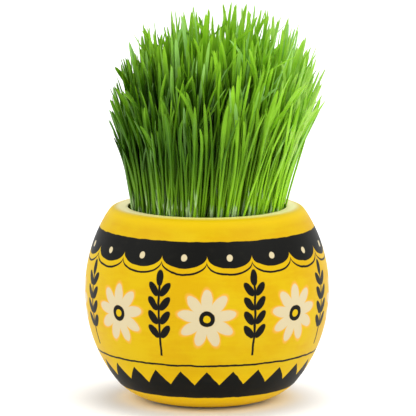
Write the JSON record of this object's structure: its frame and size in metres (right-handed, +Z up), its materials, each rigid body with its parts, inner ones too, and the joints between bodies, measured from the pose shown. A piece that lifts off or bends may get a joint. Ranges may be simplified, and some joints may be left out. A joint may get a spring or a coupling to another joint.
{
  "type": "wheatgrass pot",
  "caption": "Round glazed earthenware pot filled with growing mix, holding a dense sward of young wheat shoots.",
  "frame": {"origin": "on the pot's axis, at the bottom of its foot ring", "axes": "+Z up along the pot's axis; -Y is the front that the picture shows; +X to its right"},
  "size_m": [0.13, 0.13, 0.2115],
  "materials": {
    "glaze": "satin",
    "growing_mix": "matte",
    "grass": "satin"
  },
  "bodies": {
    "root": {"pot": "glaze", "soil": "growing_mix", "grass_bunch_01": "grass", "grass_bunch_02": "grass", "grass_bunch_03": "grass", "grass_bunch_04": "grass", "grass_bunch_05": "grass", "grass_bunch_06": "grass", "grass_bunch_07": "grass", "grass_bunch_08": "grass", "grass_bunch_09": "grass", "grass_bunch_10": "grass", "grass_bunch_11": "grass", "grass_bunch_12": "grass", "grass_bunch_13": "grass", "grass_bunch_14": "grass", "grass_bunch_15": "grass", "grass_bunch_16": "grass", "grass_bunch_17": "grass", "grass_bunch_18": "grass", "grass_bunch_19": "grass"}
  },
  "joints": []
}
